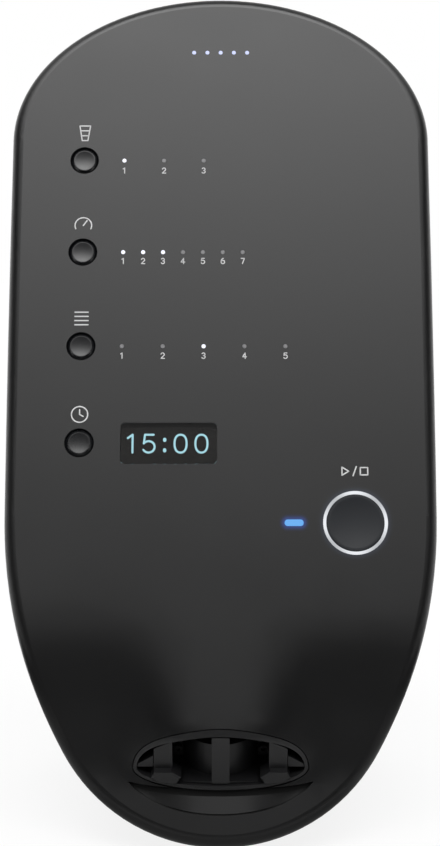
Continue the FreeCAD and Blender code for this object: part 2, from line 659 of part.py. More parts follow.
def guide_posts():
    """Two upright posts in the mouth, each ending in a chamfered six-sided foot."""
    inner, outer = POST_X
    pts = [(outer - 0.1, 0.1), (inner + 0.3, 0.1), (inner - 2.3, -1.5),
           (inner - 1.3, -3.4), (outer - 1.5, -3.4), (outer + 0.8, -1.7)]
    solids = []
    for side in (-1, 1):
        stem = [(inner, -3.0), (outer, -3.0), (outer, 20), (inner, 20)]
        stem = mouth(port_prism([(side * x, up) for x, up in stem], -14, -1.7), 0.3)
        foot = port_prism([(side * x, up) for x, up in pts], -5, 0.6)
        rim = [e for e in foot.Edges if all(p.Point.z > 0.59 for p in e.Vertexes)]
        rim = [e for e in rim if e.BoundBox.YMin < 0]
        foot = mouth(foot.makeChamfer(0.35, rim), 0.3)
        solids.append(fused([stem, foot]))
    return stand(port_frame(Part.makeCompound(solids)))


def port_gasket():
    ring = port_ellipse(3.4, -15.9, -15.0).cut(port_ellipse(0.2, -17, -14))
    return stand(port_frame(ring))


# ---- pump ------------------------------------------------------------------
def pump_motor():
    x0, x1 = MOTOR_X
    can = along_x(x0, x1, PUMP_Y, PUMP_Z, MOTOR_R)
    rims = [e for e in can.Edges if isinstance(e.Curve, Part.Circle)]
    can = can.makeFillet(1.2, rims)
    boss = along_x(x0 - 2.5, x0 + 1, PUMP_Y, PUMP_Z, 4.0)
    return fused([can, boss]).cut(along_x(x1 - 14, x1 + 1, PUMP_Y, PUMP_Z, SHAFT_R + FIT))


def pump_crankcase():
    x0, x1 = CASE_X
    z0, z1 = CASE_Z
    case = box(x0, x1, PUMP_Y - CASE_HALF, PUMP_Y + CASE_HALF, z0, z1)
    case = case.cut(box(x0 + 3, x1 - 2, PUMP_Y - 11, PUMP_Y + 11, z0 + 4, z1 - 4))
    cuts = [upright((x0 + x1) / 2, PUMP_Y, z1 - 5, z1 + 1, CHAMBER_R),
            along_x(x0 - 1, x0 + 4, PUMP_Y, PUMP_Z, SHAFT_R + FIT)]
    cuts += [upright(x, y, z1 - 3.8, z1 + 1, SCREW_R + SLIP) for x, y in head_bolts()]
    return less(case, cuts)


def head_bolts():
    middle = (CASE_X[0] + CASE_X[1]) / 2
    return [(middle + dx, PUMP_Y + dy) for dx in (-10.2, 10.2) for dy in (-11.8, 11.8)]


def pump_crank():
    """Motor shaft, balance disc and off-centre pin in one piece."""
    x0 = CASE_X[0]
    return fused([along_x(x0 - 12, x0 + 5, PUMP_Y, PUMP_Z, SHAFT_R),
                  along_x(x0 + 4.5, x0 + 8.5, PUMP_Y, PUMP_Z, 7.5),
                  along_x(x0 + 8, x0 + 18, PUMP_Y, PUMP_Z + ECC, PIN_R)])


def pump_rod():
    middle = (CASE_X[0] + CASE_X[1]) / 2
    eye = along_x(middle - 3, middle + 3, PUMP_Y, PUMP_Z, 7.2)
    arm = box(middle - 1.5, middle + 1.5, PUMP_Y - 2.5, PUMP_Y + 2.5, PUMP_Z + 6, CASE_Z[1] - 1.4)
    pad = upright(middle, PUMP_Y, CASE_Z[1] - 1.5, CASE_Z[1], 5.0)
    hole = along_x(middle - 4, middle + 4, PUMP_Y, PUMP_Z, PIN_R + ECC + 0.2)
    return fused([eye, arm, pad]).cut(hole)


def pump_diaphragm():
    middle = (CASE_X[0] + CASE_X[1]) / 2
    disc = upright(middle, PUMP_Y, CASE_Z[1], HEAD_Z[0], CHAMBER_R + 3)
    boss = upright(middle, PUMP_Y, HEAD_Z[0] - 0.5, HEAD_Z[0] + 0.8, 4.5)
    groove = upright(middle, PUMP_Y, HEAD_Z[0] - 0.6, HEAD_Z[0] + 1, 9.0)
    groove = groove.cut(upright(middle, PUMP_Y, HEAD_Z[0] - 1, HEAD_Z[0] + 2, 6.5))
    return fused([disc, boss]).cut(groove)


def pump_head():
    x0, x1 = CASE_X
    z0, z1 = HEAD_Z
    middle = (x0 + x1) / 2
    head = box(x0, x1, PUMP_Y - CASE_HALF, PUMP_Y + CASE_HALF, z0, z1)
    ox, oy = OUTLET
    ribs = [box(x0 + 5, x1 - 5, PUMP_Y - CASE_HALF + 3 + i * 4, PUMP_Y - CASE_HALF + 4.5 + i * 4,
                z1 - 0.5, z1 + 1.5) for i in range(3)]
    head = fused([head, upright(ox, oy, z1 - 1, z1 + 7, TUBE_BORE - 0.03)] + ribs)
    cuts = [upright(middle, PUMP_Y, z0 - 1, z0 + 2, CHAMBER_R),
            upright(ox, oy, z0 + 1, z1 + 8, 0.8)]
    cuts += [upright(x, y, z0 - 1, z1 + 2, SCREW_R + SLIP) for x, y in head_bolts()]
    return less(head, cuts)


def pump_screws():
    z1 = HEAD_Z[1]
    return Part.makeCompound([
        fused([upright(x, y, z1, z1 + 1.6, 2.1), upright(x, y, CASE_Z[1] - 3.4, z1, SCREW_R)])
        for x, y in head_bolts()])


def pump_cradle():
    z0, z1 = CRADLE_Z
    plate = fused([box(-33.5, 33.5, -11, 18, z0, z1), box(-27.5, 26, 17, 28, z0, z1)])
    saddles = [box(x, x + 4, PUMP_Y - 10, PUMP_Y + 10, z1 - 0.5, PUMP_Z - 5) for x in (-18, -8)]
    pad = box(5, 15, PUMP_Y - 10, PUMP_Y + 10, z1 - 0.5, CASE_Z[0])
    cuts = [along_x(-50, CASE_X[0], PUMP_Y, PUMP_Z, MOTOR_R)]
    cuts += [upright(x, y, z0 - 1, z1 + 1, 2.3) for x, y in MOUNTS]
    return less(fused([plate, pad] + saddles), cuts)


def pump_mounts():
    z0, z1 = CRADLE_Z
    return Part.makeCompound([
        fused([upright(x, y, BASE_TOP, z0, 4.5), upright(x, y, z0 - 0.5, z1 + 0.5, 2.2),
               upright(x, y, z1, z1 + 1.2, 3.2)]) for x, y in MOUNTS])


def intake_filter():
    """Foam pad held against the inside of the vent slots."""
    pad = behind(WALL + 0.03).cut(behind(WALL + 3.0))
    wide = VENT_HALF + 3
    return pad.common(box(-wide, wide, 0, OUTSIDE, VENT_Z[0] - 3, VENT_Z[-1] + VENT_HIGH + 3))


# ---- valves and air lines --------------------------------------------------
def valve_bracket():
    """Sheet-metal shelf on two legs that carries the valves over the pump."""
    z0 = CRADLE_Z[1]
    shelf = box(-33, 33, VALVE_Y - 9, VALVE_Y + 9, SHELF_Z, SHELF_Z + 1.5)
    legs = [box(x, x + 1.5, VALVE_Y - 10, VALVE_Y - 5, z0, SHELF_Z + 1.5) for x in (-33, 31.5)]
    holes = [upright(x, VALVE_Y, SHELF_Z - 1, SHELF_Z + 3, TUBE_R + 0.2) for x in VALVE_X]
    return less(fused([shelf] + legs), holes)


def valve_manifold():
    z0, z1 = MANIFOLD_Z
    block = box(-31, 31, VALVE_Y - 9, VALVE_Y + 9, z0, z1)
    barbs = [upright(x, VALVE_Y, z0 - 3, z0 + 1, TUBE_BORE - 0.03) for x in VALVE_X]
    barbs.append(along_y(VALVE_Y + 8, VALVE_Y + 15, OUTLET[0], 75, TUBE_BORE - 0.03))
    cuts = [upright(x, VALVE_Y, z1 - 2, z1 + 1, PLUNGER_R + FIT) for x in VALVE_X]
    cuts += [upright(x, VALVE_Y, z0 - 6, z1 - 1, 0.8) for x in VALVE_X]
    cuts.append(along_y(VALVE_Y + 3, VALVE_Y + 16, OUTLET[0], 75, 0.8))
    cuts += [along_y(VALVE_Y - 10, VALVE_Y - 4, x, 76, 1.0) for x in VALVE_X]
    return less(fused([block] + barbs), cuts)


def valve_coils():
    z0, z1 = COIL_Z
    solids = []
    for x in VALVE_X:
        yoke = box(x - 5.5, x + 5.5, VALVE_Y - 6.5, VALVE_Y + 6.5, z0, z1)
        solids.append(yoke.cut(upright(x, VALVE_Y, z0 - 1, z1 - 1.5, PLUNGER_R + FIT)))
    return Part.makeCompound(solids)


def valve_plunger(x):
    return upright(x, VALVE_Y, MANIFOLD_Z[1] - 1.9, COIL_Z[1] - 1.5 - PLUNGER_TRAVEL - 0.1,
                   PLUNGER_R)


def pressure_sensor():
    z0 = MANIFOLD_Z[0] + 1.5
    return fused([box(31, 37, VALVE_Y - 4, VALVE_Y + 4, z0, z0 + 7.5),
                  box(37, 38.5, VALVE_Y - 2, VALVE_Y + 2, z0 + 1.5, z0 + 5.5)])


def zone_tubes():
    solids = []
    for low, high in zip(BARB_X, VALVE_X):
        path = [V(low, BARB_Y, BARB_Z[1] - 6.5), V(low, BARB_Y, BARB_Z[1] + 11), V(high, VALVE_Y, 62.5),
                V(high, VALVE_Y, MANIFOLD_Z[0] - 0.1)]
        solids.append(tube(path, TUBE_R, TUBE_BORE, 5.5))
    return Part.makeCompound(solids)


def pump_tube():
    x, y = OUTLET
    return tube([V(x, y, HEAD_Z[1] + 0.5), V(x, y, 75), V(x, VALVE_Y + 9.3, 75)],
                TUBE_R, TUBE_BORE, 6.0)


# ---- battery ---------------------------------------------------------------
def battery_cells():
    return Part.makeCompound([along_x(-CELL_L / 2, CELL_L / 2, CELL_Y,
                                      CELL_Z0 + i * CELL_PITCH, CELL_R)
                              for i in range(4)])


def battery_box():
    """Outer faces of the cell stack: front, back, bottom, top."""
    return (CELL_Y - CELL_R, CELL_Y + CELL_R,
            CELL_Z0 - CELL_R, CELL_Z0 + 3 * CELL_PITCH + CELL_R)


def battery_tray():
    y0, y1, z0, z1 = battery_box()
    half = CELL_L / 2 + 0.2
    walls = [box(-half - 1.2, half + 1.2, y1, y1 + 1.4, z0 - 1.2, z1),
             box(-half - 1.2, half + 1.2, y0, y1 + 1.4, z0 - 1.2, z0),
             box(-half - 1.2, -half, y0 + 6, y1 + 1.4, z0 - 1.2, z1),
             box(half, half + 1.2, y0 + 6, y1 + 1.4, z0 - 1.2, z1),
             box(-12, -9, y1 + 1, OUTSIDE, z0 + 8, z1 - 8),
             box(9, 12, y1 + 1, OUTSIDE, z0 + 8, z1 - 8)]
    return fused(walls).common(behind(WALL + 0.03))


def battery_strap():
    y0, y1, z0, z1 = battery_box()
    band = box(-7, 7, y0 - 0.8, y1, z0 - 1.2, z1 + 0.8)
    return band.cut(box(-8, 8, y0, y1 + 1, z0 - 2, z1))


# ---- rear panel pieces -----------------------------------------------------
def power_switch_body():
    x, z = SWITCH_X, SWITCH_Z
    half_x, half_z = SWITCH_HALF

    def block(grow, y0, y1):
        return box(x - half_x - grow, x + half_x + grow, y0, y1,
                   z - half_z - grow, z + half_z + grow)

    flange = block(SWITCH_FLANGE, PANEL_Y, PANEL_Y + 1.4)
    body = block(0, PANEL_Y - 12, PANEL_Y + 1)
    tabs = [box(x + dx - 0.4, x + dx + 0.4, PANEL_Y - 15, PANEL_Y - 11.5, z - 2.4, z + 2.4)
            for dx in (-6, 0, 6)]
    cavity = block(-SWITCH_WALL, PANEL_Y - 10.2, PANEL_Y + 5)
    cavity = cavity.common(box(-90, 90, 0, 90, z - ROCKER_HALF - 0.1, z + ROCKER_HALF + 0.1))
    return fused([flange, body] + tabs).cut(cavity)


def power_rocker():
    """Rocker cap: two flats meeting at the middle, round ends, resting on one side."""
    x, z, pivot = SWITCH_X, SWITCH_Z, PANEL_Y - 4.0
    end = ROCKER_END_R + 0.05
    rise = end * math.tan(math.radians(ROCKER_TILT))
    pts = [(-end, 3.6 + rise), (0, 3.6), (end, 3.6 + rise), (end, -4.4), (-end, -4.4)]
    low = z - ROCKER_HALF
    wire = Part.makePolygon([V(x + a, pivot + b, low) for a, b in pts + [pts[0]]])
    cap = Part.Face(wire).extrude(V(0, 0, 2 * ROCKER_HALF))
    cap = cap.common(Part.makeCylinder(ROCKER_END_R, 2 * ROCKER_HALF, V(x, pivot, low)))
    cap.rotate(V(x, pivot, z), V(0, 0, 1), ROCKER_TILT)
    return cap


def dc_inlet():
    x, z = INLET_X, INLET_Z
    body = fused([along_y(PANEL_Y, PANEL_Y + 1.2, x, z, INLET_R + 1.6),
                  along_y(PANEL_Y - 11, PANEL_Y + 1, x, z, INLET_R)])
    nut = along_y(PANEL_Y - WALL - 2.2, PANEL_Y - WALL, x, z, INLET_R + 2)
    body = fused([body, nut]).cut(along_y(PANEL_Y - 9, PANEL_Y + 2, x, z, 2.8))
    return fused([body, along_y(PANEL_Y - 9.5, PANEL_Y, x, z, 1.0)])


def main():
    os.makedirs("parts", exist_ok=True)
    save("front_shell", front_shell())
    save("rear_shell", rear_shell())
    for name, v in KEY_V.items():
        save(name + "_button", key(v))
    for name, row in DOTS.items():
        save(name + "_light_pipe", light_pipe(row))
    for i, x in enumerate(VALVE_X):
        save("valve_plunger_%d" % (i + 1), valve_plunger(x))
    for make in (base_plate, rubber_feet, seam_gasket, start_button, start_light_ring,
                 status_light_bar, display_window, display_module, control_board,
                 button_switches, indicator_leds, board_chips, buzzer, board_screws,
                 shell_screws, base_screws, port_bezel, port_block, port_nozzles, guide_posts,
                 port_gasket, pump_motor, pump_crankcase, pump_crank, pump_rod, pump_diaphragm,
                 pump_head, pump_screws, pump_cradle, pump_mounts, intake_filter,
                 valve_bracket, valve_manifold, valve_coils, pressure_sensor, zone_tubes,
                 pump_tube, battery_cells, battery_tray, battery_strap, power_switch_body,
                 power_rocker, dc_inlet):
        save(make.__name__, make())


main()
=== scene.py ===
# %% [markdown]
# # Compression therapy pump
# A table-top air pump with an egg-shaped control face that leans back 20 degrees.
# The housing, its buttons and everything inside them arrive as a fixed frame of named
# nodes. This lesson gives each node its finish, adds the small printed and lit details
# that are too thin to be worth a solid, and sets up the studio.

# %% Load the frame
import math

import bpy
import numpy as np
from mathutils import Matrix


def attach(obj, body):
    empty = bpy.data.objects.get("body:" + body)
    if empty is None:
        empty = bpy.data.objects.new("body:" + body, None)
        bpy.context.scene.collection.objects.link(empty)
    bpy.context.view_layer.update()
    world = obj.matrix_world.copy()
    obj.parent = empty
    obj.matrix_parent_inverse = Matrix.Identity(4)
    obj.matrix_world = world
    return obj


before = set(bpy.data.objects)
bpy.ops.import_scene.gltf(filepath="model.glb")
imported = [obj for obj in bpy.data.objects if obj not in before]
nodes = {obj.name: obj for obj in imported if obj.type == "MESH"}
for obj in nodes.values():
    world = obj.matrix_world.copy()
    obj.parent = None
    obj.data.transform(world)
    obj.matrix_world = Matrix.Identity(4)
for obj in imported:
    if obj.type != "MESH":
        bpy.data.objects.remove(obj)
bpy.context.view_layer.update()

# %% [markdown]
# ## Camera
# The camera stands half a metre in front of the pump, a little above its middle, and
# looks six degrees down. Because the face leans back 20 degrees, it is seen from 14
# degrees below its own normal. A short lens close by would spread the sides, so this
# one is long.

# %% Camera
CAMERA_PLACE = (0.0, -0.49068, 0.15955)
CAMERA_TILT = 84.0           # degrees up from straight down
CAMERA_SHIFT = -0.00077      # to the left, as a share of the frame
LENS, SENSOR = 74.47, 36.0   # millimetres

camera_data = bpy.data.cameras.new("product_camera")
camera_data.sensor_fit = "VERTICAL"
camera_data.sensor_height = SENSOR
camera_data.lens = LENS
camera_data.shift_x = CAMERA_SHIFT
camera = bpy.data.objects.new("product_camera", camera_data)
camera.location = CAMERA_PLACE
camera.rotation_euler = (math.radians(CAMERA_TILT), 0.0, 0.0)
bpy.context.scene.collection.objects.link(camera)
bpy.context.scene.camera = camera
print("camera", CAMERA_PLACE, "lens", LENS)

# %% [markdown]
# ## Places on the leaning face
# It is easiest to lay out a control panel in its own flat coordinates: x to the right,
# v up the face from the tip of the chin and n straight out of it, in millimetres. One
# turn about X and one shift carry those onto the standing pump, in metres. An empty
# turned the same way could carry them too, but finished pieces stay unturned here.

# %% Face coordinates
MM = 0.001
FACE_LENGTH = 237.5
LEAN = math.radians(20.0)
TIP = np.array([0.0, -0.05934, 0.00562])
ACROSS = np.array([1.0, 0.0, 0.0])
UP_FACE = np.array([0.0, math.sin(LEAN), math.cos(LEAN)])
OUT_OF_FACE = np.array([0.0, -math.cos(LEAN), math.sin(LEAN)])


def on_face(points):
    """Rows of (x, v, n) in millimetres to world metres: tip + x*across + v*up + n*out."""
    p = np.asarray(points, float) * MM
    return TIP + p[:, :1] * ACROSS + p[:, 1:2] * UP_FACE + p[:, 2:3] * OUT_OF_FACE


print("top of the face at", on_face([(0, FACE_LENGTH, 0)]).round(4).tolist())

# %% [markdown]
# ## Materials from nodes
# A material is a graph of nodes. It can be wired by hand in the editor, but a script
# that names each step is easier to read and comes out the same every time. These helpers
# add a node, feed its sockets with numbers or with other sockets, and do one sum or one
# change of range, so that the recipes further down read almost like formulas.

# %% Node helpers
def shader(name):
    """A new node material, its tree and its Principled shader."""
    material = bpy.data.materials.new(name)
    material.use_nodes = True
    return material, material.node_tree, material.node_tree.nodes["Principled BSDF"]


def add_node(tree, kind, **values):
    """A node of that kind, with its settings and the inputs given by name."""
    node = tree.nodes.new(kind)
    for key, value in values.items():
        if key in node.inputs:
            node.inputs[key].default_value = value
        else:
            setattr(node, key, value)
    return node


def feed(tree, sockets, values):
    """Each socket takes its value: a number is set and another socket is linked."""
    for socket, value in zip(sockets, values):
        if isinstance(value, (int, float)):
            socket.default_value = value
        elif value is not None:
            tree.links.new(value, socket)


def calc(tree, operation, a, b=None):
    """One sum by a Math node, such as a + b or sqrt(a)."""
    node = add_node(tree, "ShaderNodeMath", operation=operation)
    feed(tree, node.inputs, (a, b))
    return node.outputs[0]


def remap(tree, value, low, high, start, end, kind="LINEAR"):
    """start at low and below, end at high and above, and a line or SMOOTHSTEP between."""
    node = add_node(tree, "ShaderNodeMapRange", interpolation_type=kind)
    feed(tree, node.inputs, (value, low, high, start, end))
    return node.outputs["Result"]


def share_of(tree, share, a, b):
    """a*(1 - share) + b*share"""
    node = add_node(tree, "ShaderNodeMix", data_type="FLOAT")
    feed(tree, (node.inputs[0], node.inputs[2], node.inputs[3]), (share, a, b))
    return node.outputs[0]


def scaled(tree, colour, factor):
    """The colour times the factor."""
    node = add_node(tree, "ShaderNodeVectorMath", operation="SCALE")
    node.inputs[0].default_value = colour
    tree.links.new(factor, node.inputs["Scale"])
    return node.outputs[0]


def axes(tree, kind="Object"):
    """The X, Y and Z sockets of a texture coordinate."""
    place = tree.nodes.new("ShaderNodeTexCoord")
    parts = tree.nodes.new("ShaderNodeSeparateXYZ")
    tree.links.new(place.outputs[kind], parts.inputs[0])
    return parts.outputs


print("helpers that add, feed, sum, remap, mix and scale in a node tree")

# %% [markdown]
# ## Finishes
# Every surface of the pump is moulded, turned or printed, so one recipe fits nearly all
# of them: a base colour that drifts a little over the part, a roughness that drifts with
# it, and a fine relief for the texture of the mould. The relief is what catches the
# light in satin plastic. One flat colour would be quicker but looks like paper. All
# patterns read Object coordinates, so they stay on the part.

# %% A recipe for moulded and turned surfaces
BROAD_CELLS, FINE_SHARE = 35.0, 0.35   # broad noise cells in a metre; share of the fine one
NOISE_LOW, NOISE_HIGH = 0.3, 0.7       # where nearly all values of a noise lie
ROUGH_DRIFT, RELIEF_STRENGTH = 0.07, 0.6


def noise(tree, cells, detail=3.0):
    """Noise on Object coordinates with so many cells in a metre."""
    place = tree.nodes.new("ShaderNodeTexCoord")
    grain = add_node(tree, "ShaderNodeTexNoise", Scale=cells, Detail=detail)
    tree.links.new(place.outputs["Object"], grain.inputs["Vector"])
    return grain.outputs["Fac"]


def tint(tree, value, colour, amount):
    """colour*(1 - amount) where value is 0, and colour*(1 + amount) where it is 1."""
    ramp = tree.nodes.new("ShaderNodeValToRGB")
    for element, factor in zip(ramp.color_ramp.elements, (1 - amount, 1 + amount)):
        element.color = [min(1.0, c * factor) for c in colour] + [1.0]
    tree.links.new(value, ramp.inputs["Fac"])
    return ramp.outputs["Color"]


def moulded(name, colour, rough, grain=2500.0, relief=0.02, drift=0.08, metal=0.0,
            specular=0.5):
    """Colour and roughness that drift with broad and fine noise, over a relief of grain
    cells in a metre that is relief millimetres high."""
    material, tree, bsdf = shader(name)
    bsdf.inputs["Metallic"].default_value = metal
    bsdf.inputs["Specular IOR Level"].default_value = specular
    fine = noise(tree, grain, 2.0)
    mottle = share_of(tree, FINE_SHARE, noise(tree, BROAD_CELLS, 4.0), fine)
    tree.links.new(tint(tree, mottle, colour, drift), bsdf.inputs["Base Color"])
    rough_here = remap(tree, mottle, NOISE_LOW, NOISE_HIGH, rough * (1 - ROUGH_DRIFT),
                       rough * (1 + ROUGH_DRIFT))
    tree.links.new(rough_here, bsdf.inputs["Roughness"])
    bump = add_node(tree, "ShaderNodeBump", Strength=RELIEF_STRENGTH, Distance=relief * MM)
    tree.links.new(fine, bump.inputs["Height"])
    tree.links.new(bump.outputs["Normal"], bsdf.inputs["Normal"])
    return material


def dress(material, *names):
    """Puts the material into every slot of the named nodes."""
    for name in names:
        for slot in nodes[name].material_slots:
            slot.material = material
    print(material.name, "on", ", ".join(names))


print("recipe: broad noise of", BROAD_CELLS, "cells in a metre under each part's own grain")

# %% [markdown]
# ## Housing
# The front half has a soft satin face, the kind that is blasted very finely so that
# finger marks don't show. The rear half and the floor plate usually come out of a
# coarser, spark-eroded mould, which hides sink marks behind the screw posts. The plastic
# itself is nearly black: the grey that the eye sees on it is the room, softened.

# %% Housing finishes
CHARCOAL = (0.0018, 0.0018, 0.0020)
satin = moulded("satin_face", CHARCOAL, 0.34, grain=5200.0, relief=0.006, drift=0.05)
spark = moulded("spark_texture", (0.0068, 0.0068, 0.0072), 0.50, grain=2600.0, relief=0.045,
                drift=0.12)
rubber = moulded("black_rubber", (0.012, 0.012, 0.012), 0.75, grain=1800.0, relief=0.03,
                 specular=0.3)
dress(satin, "front_shell")
dress(spark, "rear_shell", "base_plate")
dress(rubber, "rubber_feet", "seam_gasket", "port_gasket", "pump_mounts", "pump_diaphragm")

# %% [markdown]
# ## Buttons and trim
# The small buttons are polished, so they show a soft light as a small bright patch in
# their dish. The start button is duller, and a touch of blue is painted into its colour
# for the light of the ring that glows round it. The ring round the hose port is satin, a
# little smoother than the socket behind it.

# %% Button and port finishes
polished = moulded("polished_button", (0.0040, 0.0043, 0.0052), 0.26, grain=900.0,
                   relief=0.002, drift=0.05)
# the blue in this colour is painted light from the glowing ring round the button
thumb = moulded("start_button_face", (0.0054, 0.0070, 0.0100), 0.52, grain=1500.0,
                relief=0.003, drift=0.05, specular=0.36)
trim = moulded("satin_ring", (0.0070, 0.0070, 0.0074), 0.30, grain=3000.0, relief=0.004,
               specular=0.6)
socket_finish = moulded("socket_plastic", (0.0070, 0.0070, 0.0075), 0.34, grain=2600.0,
                        relief=0.010)
dress(polished, "attachment_button", "pressure_button", "zone_button", "time_button")
dress(thumb, "start_button")
dress(trim, "port_bezel")
dress(socket_finish, "port_block", "port_nozzles", "guide_posts")

# %% [markdown]
# ## Pieces inside
# Nobody sees these without taking the pump apart, but a reusable part should still look
# right when someone does. Board, shrink sleeve, plated can, folded sheet and foam differ
# mostly in colour, in gloss and in how coarse their grain is, so a table is enough.

# %% Inner finishes
# finish: nodes, colour, roughness, grain cells in a metre, relief in millimetres, metallic
INNER = {
    "solder_mask": (("control_board",), (0.012, 0.085, 0.035), 0.35, 900.0, 0.010, 0.0),
    "moulded_epoxy": (("board_chips", "button_switches", "buzzer", "pressure_sensor"),
                      (0.018, 0.018, 0.020), 0.55, 3000.0, 0.010, 0.0),
    "led_body": (("indicator_leds",), (0.70, 0.70, 0.62), 0.35, 2000.0, 0.004, 0.0),
    "zinc_plate": (("board_screws", "shell_screws", "base_screws", "pump_screws"),
                   (0.50, 0.50, 0.51), 0.32, 2400.0, 0.004, 1.0),
    "plated_can": (("pump_motor",), (0.52, 0.52, 0.54), 0.28, 1600.0, 0.004, 1.0),
    "turned_steel": (("pump_crank",) + tuple("valve_plunger_%d" % i for i in range(1, 6)),
                     (0.56, 0.56, 0.57), 0.24, 2600.0, 0.003, 1.0),
    "filled_nylon": (("pump_crankcase", "pump_rod", "pump_head"),
                     (0.045, 0.045, 0.050), 0.5, 1500.0, 0.020, 0.0),
    "grey_moulding": (("pump_cradle", "battery_tray"),
                      (0.090, 0.090, 0.095), 0.55, 2000.0, 0.020, 0.0),
    "folded_sheet": (("valve_bracket",), (0.62, 0.62, 0.63), 0.35, 1200.0, 0.004, 1.0),
    "natural_acetal": (("valve_manifold",), (0.66, 0.66, 0.62), 0.42, 2000.0, 0.006, 0.0),
    "coil_lacquer": (("valve_coils",), (0.035, 0.035, 0.040), 0.35, 1500.0, 0.006, 0.0),
    "silicone_hose": (("zone_tubes", "pump_tube"),
                      (0.66, 0.66, 0.62), 0.45, 1500.0, 0.006, 0.0),
    "open_foam": (("intake_filter",), (0.060, 0.060, 0.062), 0.95, 1400.0, 0.30, 0.0),
    "shrink_sleeve": (("battery_cells",), (0.020, 0.085, 0.26), 0.25, 1200.0, 0.004, 0.0),
    "woven_tape": (("battery_strap",), (0.020, 0.020, 0.021), 0.8, 3500.0, 0.08, 0.0),
    "switch_moulding": (("power_switch_body", "power_rocker", "dc_inlet"),
                        (0.012, 0.012, 0.013), 0.28, 2200.0, 0.004, 0.0),
}
for finish, (names, colour, rough, grain, relief, metal) in INNER.items():
    dress(moulded(finish, colour, rough, grain, relief, metal=metal), *names)
dress(moulded("display_black", (0.006, 0.0055, 0.005), 0.6, specular=0.1), "display_module")

# %% [markdown]
# ## Lamps in the panel
# Each row of dots is the tips of one clear moulding, with a lamp behind every tip. Some
# are lit and some are not. Splitting the moulding would give each tip its own material,
# but it is one piece, so the glow depends on the place along the row instead: it is on
# between two edges in x. Unlit tips stay a dull grey.

# %% Lamp finishes
DOT_START = -26.95     # x of the first dot of every row
GLOW_WHITE, GLOW_BATTERY, GLOW_BLUE = (0.86, 0.88, 1.0), (0.42, 0.48, 0.80), (0.09, 0.35, 0.76)
DULL, DULL_BLUE = (0.17, 0.17, 0.175), (0.03, 0.05, 0.10)
LAMP_ROUGH, LAMP_CELLS, LAMP_DRIFT = 0.35, 4000.0, 0.15
WHOLE_ROW = (-1.0, 1.0)    # metres, far beyond either side
# row: dots, pitch, first and last lit dot, place up the face, drop to the figures' middle
ROWS = {"attachment": (3, 11.1, 0, 0, 187.1, 3.0), "pressure": (7, 5.51, 0, 2, 160.0, 2.6),
        "zone": (5, 11.15, 2, 2, 132.9, 2.7)}


def lamp(name, colour, unlit):
    """A frosted material that glows in one colour over the tint of the unlit plastic."""
    material, tree, bsdf = shader(name)
    bsdf.inputs["Roughness"].default_value = LAMP_ROUGH
    bsdf.inputs["Emission Strength"].default_value = 1.0
    bsdf.inputs["Emission Color"].default_value = (*colour, 1.0)
    base = tint(tree, noise(tree, LAMP_CELLS), unlit, LAMP_DRIFT)
    tree.links.new(base, bsdf.inputs["Base Color"])
    return material, tree, bsdf


def row_lamp(name, low, high, colour):
    """Lit where x is between low and high metres, and dull elsewhere."""
    material, tree, bsdf = lamp(name, colour, DULL)
    x = axes(tree)["X"]
    lit = calc(tree, "MULTIPLY", calc(tree, "GREATER_THAN", x, low),
               calc(tree, "LESS_THAN", x, high))
    tree.links.new(scaled(tree, colour, lit), bsdf.inputs["Emission Color"])
    return material


for row, (_, pitch, first, last, *_) in ROWS.items():
    low = (DOT_START + (first - 0.5) * pitch) * MM
    high = (DOT_START + (last + 0.5) * pitch) * MM
    dress(row_lamp(row + "_lamps", low, high, GLOW_WHITE), row + "_light_pipe")
dress(row_lamp("battery_lamps", *WHOLE_ROW, GLOW_BATTERY), "battery_light_pipe")
dress(lamp("blue_lamp", GLOW_BLUE, DULL_BLUE)[0], "status_light_bar")

# %% [markdown]
# ## Strokes
# Marks on a panel and the figures of the display are lines of even width with round
# ends. A text object or a bevelled curve could draw them, but a font's shapes belong to
# someone and a curve needs converting. Here each is a profile carried along a path: at
# every point of the centre line stand four corners of a flat box, half a width to either
# side. Past both ends the half width shrinks as a half circle, which closes the stroke.
# A ring has no ends and closes on itself.

# %% Stroke surfaces
CAP_ANGLES = np.radians([2.0, 22.5, 45.0, 67.5])
CORNERS = 4


def stroke(path, width, low, high, closed=False):
    """A round-ended bar on the face. Half width w at a point p with side s gives the
    corners p + w*s and p - w*s at heights low and high; near an end w = r*sin(a) at a
    distance r*cos(a) past it."""
    p = np.asarray(path, float)
    r = width / 2
    ahead = np.roll(p, -1, 0) - np.roll(p, 1, 0)
    if not closed:
        ahead[0], ahead[-1] = p[1] - p[0], p[-1] - p[-2]
    ahead /= np.linalg.norm(ahead, axis=1)[:, None]
    half = np.full(len(p), r)
    if not closed:
        caps = len(CAP_ANGLES)
        past = r * np.cos(CAP_ANGLES)[:, None]
        p = np.vstack([p[0] - past * ahead[0], p, p[-1] + past[::-1] * ahead[-1]])
        ahead = np.vstack([np.repeat(ahead[:1], caps, 0), ahead,
                           np.repeat(ahead[-1:], caps, 0)])
        ends = r * np.sin(CAP_ANGLES)
        half = np.concatenate([ends, half, ends[::-1]])
    side = np.column_stack([-ahead[:, 1], ahead[:, 0]]) * half[:, None]
    flat = np.stack([p - side, p + side, p + side, p - side], 1)
    height = np.tile([high, high, low, low], (len(p), 1))
    points = np.dstack([flat, height]).reshape(-1, 3)
    row = np.arange(len(p) if closed else len(p) - 1)[:, None]
    here, there = row * CORNERS, (row + 1) % len(p) * CORNERS
    corner = np.arange(CORNERS)[None, :]
    after = (corner + 1) % CORNERS
    faces = np.dstack([here + corner, there + corner, there + after, here + after])
    faces = faces.reshape(-1, 4)
    if not closed:
        last = CORNERS * (len(p) - 1)
        faces = np.vstack([faces, [0, 1, 2, 3], [last + 3, last + 2, last + 1, last]])
    return points, faces


